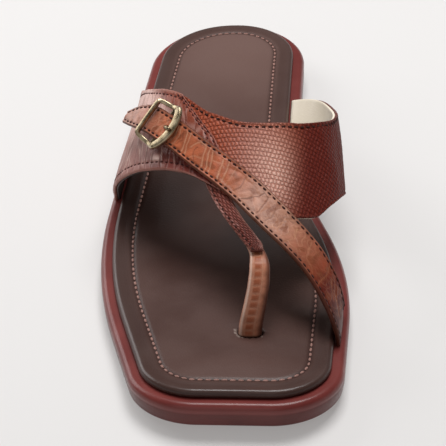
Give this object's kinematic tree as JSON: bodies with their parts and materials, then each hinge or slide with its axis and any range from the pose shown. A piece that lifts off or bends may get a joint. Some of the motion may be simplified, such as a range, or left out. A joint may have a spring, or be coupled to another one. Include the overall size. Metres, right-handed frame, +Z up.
{
  "type": "palm slipper",
  "caption": "Right-foot leather palm slipper with a square toe, a toe post, a broad instep band and a buckled cross strap.",
  "frame": {"origin": "centre of the sole's plan box, on the floor under the sole", "axes": "-Y towards the toe, +X towards the inner side of the right foot, +Z up"},
  "size_m": [0.1101, 0.2955, 0.0755],
  "materials": {
    "sole": "satin oxblood rubber",
    "insole": "satin dark brown leather",
    "upper": "embossed glazed red-brown leather",
    "toe_post": "tan brown leather",
    "buckle": "antique brass"
  },
  "bodies": {
    "root": {"sole": "sole", "insole": "insole", "upper": "upper", "toe_post": "toe_post", "buckle_frame": "buckle", "buckle_prong": "buckle"}
  },
  "joints": []
}
